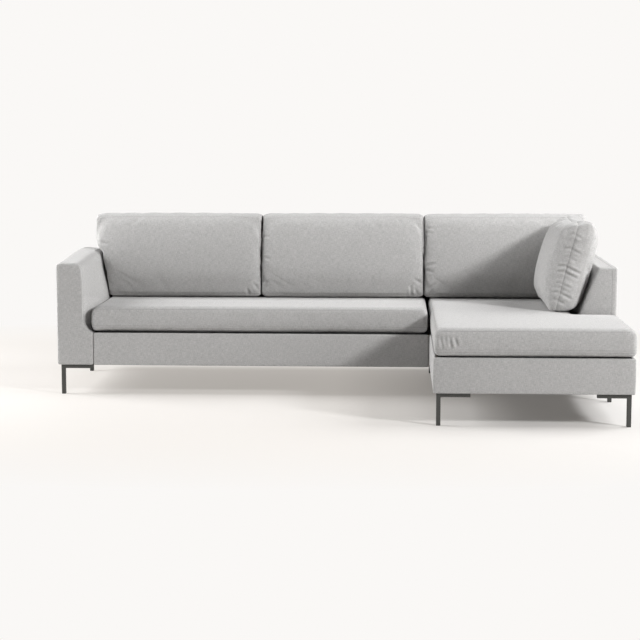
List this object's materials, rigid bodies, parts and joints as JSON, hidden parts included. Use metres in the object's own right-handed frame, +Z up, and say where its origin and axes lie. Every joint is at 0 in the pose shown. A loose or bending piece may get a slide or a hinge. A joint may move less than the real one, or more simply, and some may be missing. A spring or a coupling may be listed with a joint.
{
  "type": "corner sofa",
  "caption": "Upholstered corner sofa with a chaise, thin arms, loose seat, back and side cushions, and metal bracket legs.",
  "frame": {"origin": "on the floor, below the middle of the sofa's overall box", "axes": "+X to the viewer's right, from the left arm to the chaise; +Y to the back; +Z up"},
  "size_m": [2.8, 1.75, 0.8861],
  "materials": {
    "upholstery": "matte",
    "cushion_cloth": "matte",
    "timber": "matte",
    "webbing": "matte",
    "lining": "matte",
    "leg_metal": "satin",
    "connector_steel": "satin"
  },
  "bodies": {
    "sofa_frame": {"chaise_arm_rail": "timber", "chaise_back_board": "timber", "chaise_back_cover": "upholstery", "chaise_back_left_post": "timber", "chaise_back_right_post": "timber", "chaise_back_top_rail": "timber", "chaise_deck_cloth": "lining", "chaise_dust_cover": "lining", "chaise_front_cover": "upholstery", "chaise_front_left_leg": "leg_metal", "chaise_front_rail": "timber", "chaise_front_right_leg": "leg_metal", "chaise_left_cover": "upholstery", "chaise_left_rail": "timber", "chaise_rear_cover": "upholstery", "chaise_rear_rail": "timber", "chaise_right_cover": "upholstery", "chaise_right_rail": "timber", "chaise_webbing_strap_1": "webbing", "chaise_webbing_strap_2": "webbing", "chaise_webbing_strap_3": "webbing", "front_left_leg": "leg_metal", "left_arm_cover": "upholstery", "left_arm_inner_board": "timber", "left_arm_outer_board": "timber", "left_arm_top_rail": "timber", "main_back_board": "timber", "main_back_cover": "upholstery", "main_back_left_post": "timber", "main_back_right_post": "timber", "main_back_top_rail": "timber", "main_deck_cloth": "lining", "main_dust_cover": "lining", "main_front_cover": "upholstery", "main_front_rail": "timber", "main_left_rail": "timber", "main_rear_cover": "upholstery", "main_rear_rail": "timber", "main_right_rail": "timber", "main_stretcher": "timber", "main_webbing_strap_1": "webbing", "main_webbing_strap_2": "webbing", "main_webbing_strap_3": "webbing", "rear_left_leg": "leg_metal", "rear_middle_leg": "leg_metal", "rear_right_leg": "leg_metal", "right_arm_cover": "upholstery", "right_arm_inner_board": "timber", "right_arm_leg": "leg_metal", "right_arm_outer_board": "timber", "right_arm_top_rail": "timber", "unit_connector_plate_1": "connector_steel", "unit_connector_plate_2": "connector_steel"},
    "main_seat_cushion": {"main_seat_cushion": "cushion_cloth"},
    "chaise_seat_cushion": {"chaise_seat_cushion": "cushion_cloth"},
    "left_back_cushion": {"left_back_cushion": "cushion_cloth"},
    "middle_back_cushion": {"middle_back_cushion": "cushion_cloth"},
    "right_back_cushion": {"right_back_cushion": "cushion_cloth"},
    "side_cushion": {"side_cushion": "cushion_cloth"}
  },
  "joints": [
    {"name": "main_seat_slide", "type": "slide", "parent": "sofa_frame", "child": "main_seat_cushion", "axis": [0, -1, 0], "range_m": [0, 0.1]},
    {"name": "chaise_seat_slide", "type": "slide", "parent": "sofa_frame", "child": "chaise_seat_cushion", "axis": [0, -1, 0], "range_m": [0, 0.1]},
    {"name": "left_back_lift", "type": "slide", "parent": "sofa_frame", "child": "left_back_cushion", "axis": [0, 0.1736, 0.9848], "range_m": [0, 0.25]},
    {"name": "middle_back_lift", "type": "slide", "parent": "sofa_frame", "child": "middle_back_cushion", "axis": [0, 0.1736, 0.9848], "range_m": [0, 0.25]},
    {"name": "right_back_lift", "type": "slide", "parent": "sofa_frame", "child": "right_back_cushion", "axis": [0, 0.1736, 0.9848], "range_m": [0, 0.25]},
    {"name": "side_lift", "type": "slide", "parent": "sofa_frame", "child": "side_cushion", "axis": [0.2419, 0, 0.9703], "range_m": [0, 0.25]}
  ]
}
